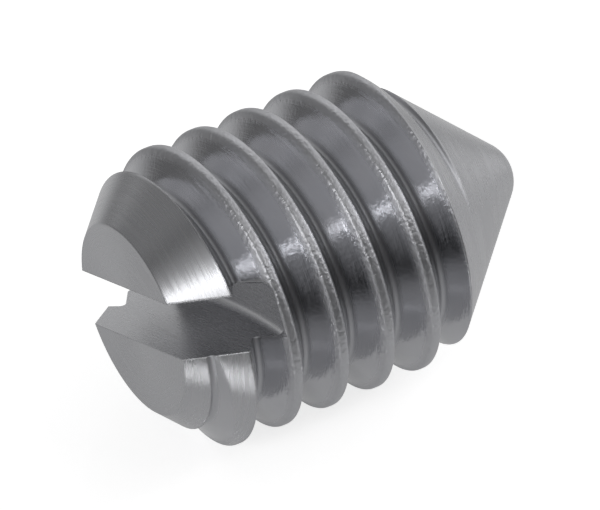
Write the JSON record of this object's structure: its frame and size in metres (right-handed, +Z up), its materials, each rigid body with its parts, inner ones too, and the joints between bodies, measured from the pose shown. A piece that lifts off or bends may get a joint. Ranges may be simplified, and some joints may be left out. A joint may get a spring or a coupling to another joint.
{
  "type": "slotted set screw",
  "caption": "Headless steel set screw with a straight driver slot in one end, a right-hand metric coarse thread along its length and a rounded cone point that presses on a shaft.",
  "frame": {"origin": "on the surface the screw lies on, below the middle of its length", "axes": "+X along the screw's axis towards its cone point, +Z up from the surface it lies on"},
  "size_m": [0.0082, 0.0058, 0.0058],
  "materials": {
    "steel": "bright as turned"
  },
  "bodies": {
    "root": {"set_screw": "steel"}
  },
  "joints": []
}
